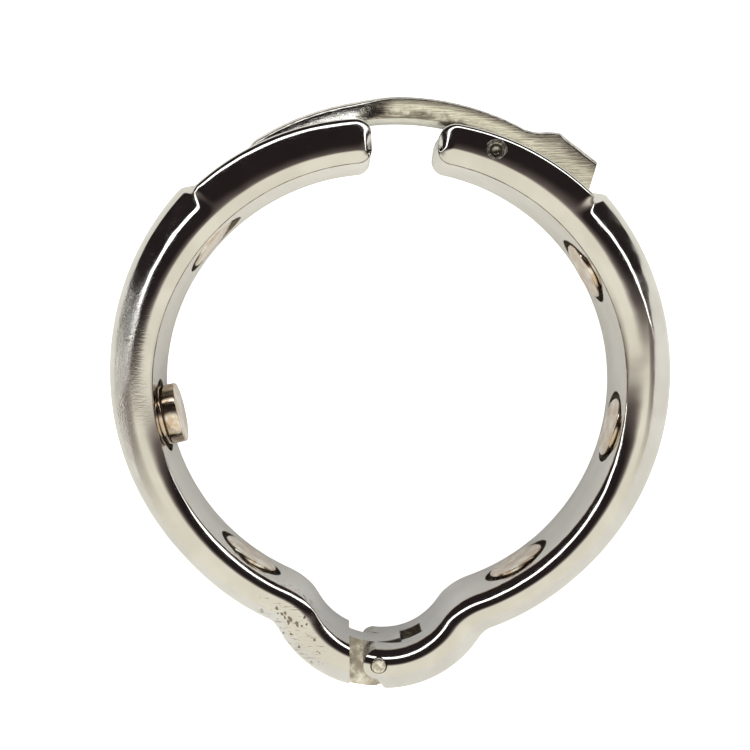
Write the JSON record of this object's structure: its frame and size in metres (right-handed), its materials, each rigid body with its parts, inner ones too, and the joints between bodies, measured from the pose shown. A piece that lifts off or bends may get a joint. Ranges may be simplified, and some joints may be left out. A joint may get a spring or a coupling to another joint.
{
  "type": "hinged adjustable metal ring",
  "caption": "Hinged split metal ring with a sprung ratchet latch across its gap and disc magnets seated around its inner face.",
  "frame": {"origin": "middle of the whole ring's box, on the surface that it lies on", "axes": "+Z along the ring's axis, up from the side face that it lies on; +Y from the hinge towards the latch; +X towards the bow that carries the latch"},
  "size_m": [0.0378, 0.0394, 0.0076],
  "materials": {
    "cast_nickel": "polished nickel plate over a casting",
    "brushed_steel": "stamped plate, lengthwise grain",
    "rivet_steel": "peened ends",
    "magnet_nickel": "bright nickel plate",
    "spring_steel": "drawn wire"
  },
  "bodies": {
    "left_half": {"left_bow": "cast_nickel", "upper_left_magnet": "magnet_nickel", "middle_left_magnet": "magnet_nickel", "lower_left_magnet": "magnet_nickel"},
    "right_half": {"right_bow": "cast_nickel", "hinge_pin": "rivet_steel", "latch_pin": "rivet_steel", "latch_spring": "spring_steel", "upper_right_magnet": "magnet_nickel", "middle_right_magnet": "magnet_nickel", "lower_right_magnet": "magnet_nickel"},
    "latch": {"latch_lever": "brushed_steel"},
    "loose_magnet": {"stacked_magnet": "magnet_nickel"}
  },
  "joints": [
    {"name": "ring_hinge", "type": "hinge", "parent": "left_half", "child": "right_half", "pos_m": [-0.00085, -0.01765, 0.0038], "axis": [0, 0, 1], "range_deg": [-75, 7]},
    {"name": "latch_pivot", "type": "hinge", "parent": "right_half", "child": "latch", "pos_m": [0.00671, 0.01582, 0.0038], "axis": [0, 0, -1], "range_deg": [-1.4, 5], "stiffness_Nm_per_rad": 0.08, "deforming": ["latch_spring"]},
    {"name": "magnet_pull", "type": "slide", "parent": "left_half", "child": "loose_magnet", "axis": [0.9781, 0.2079, 0], "range_m": [0, 0.0025]}
  ]
}
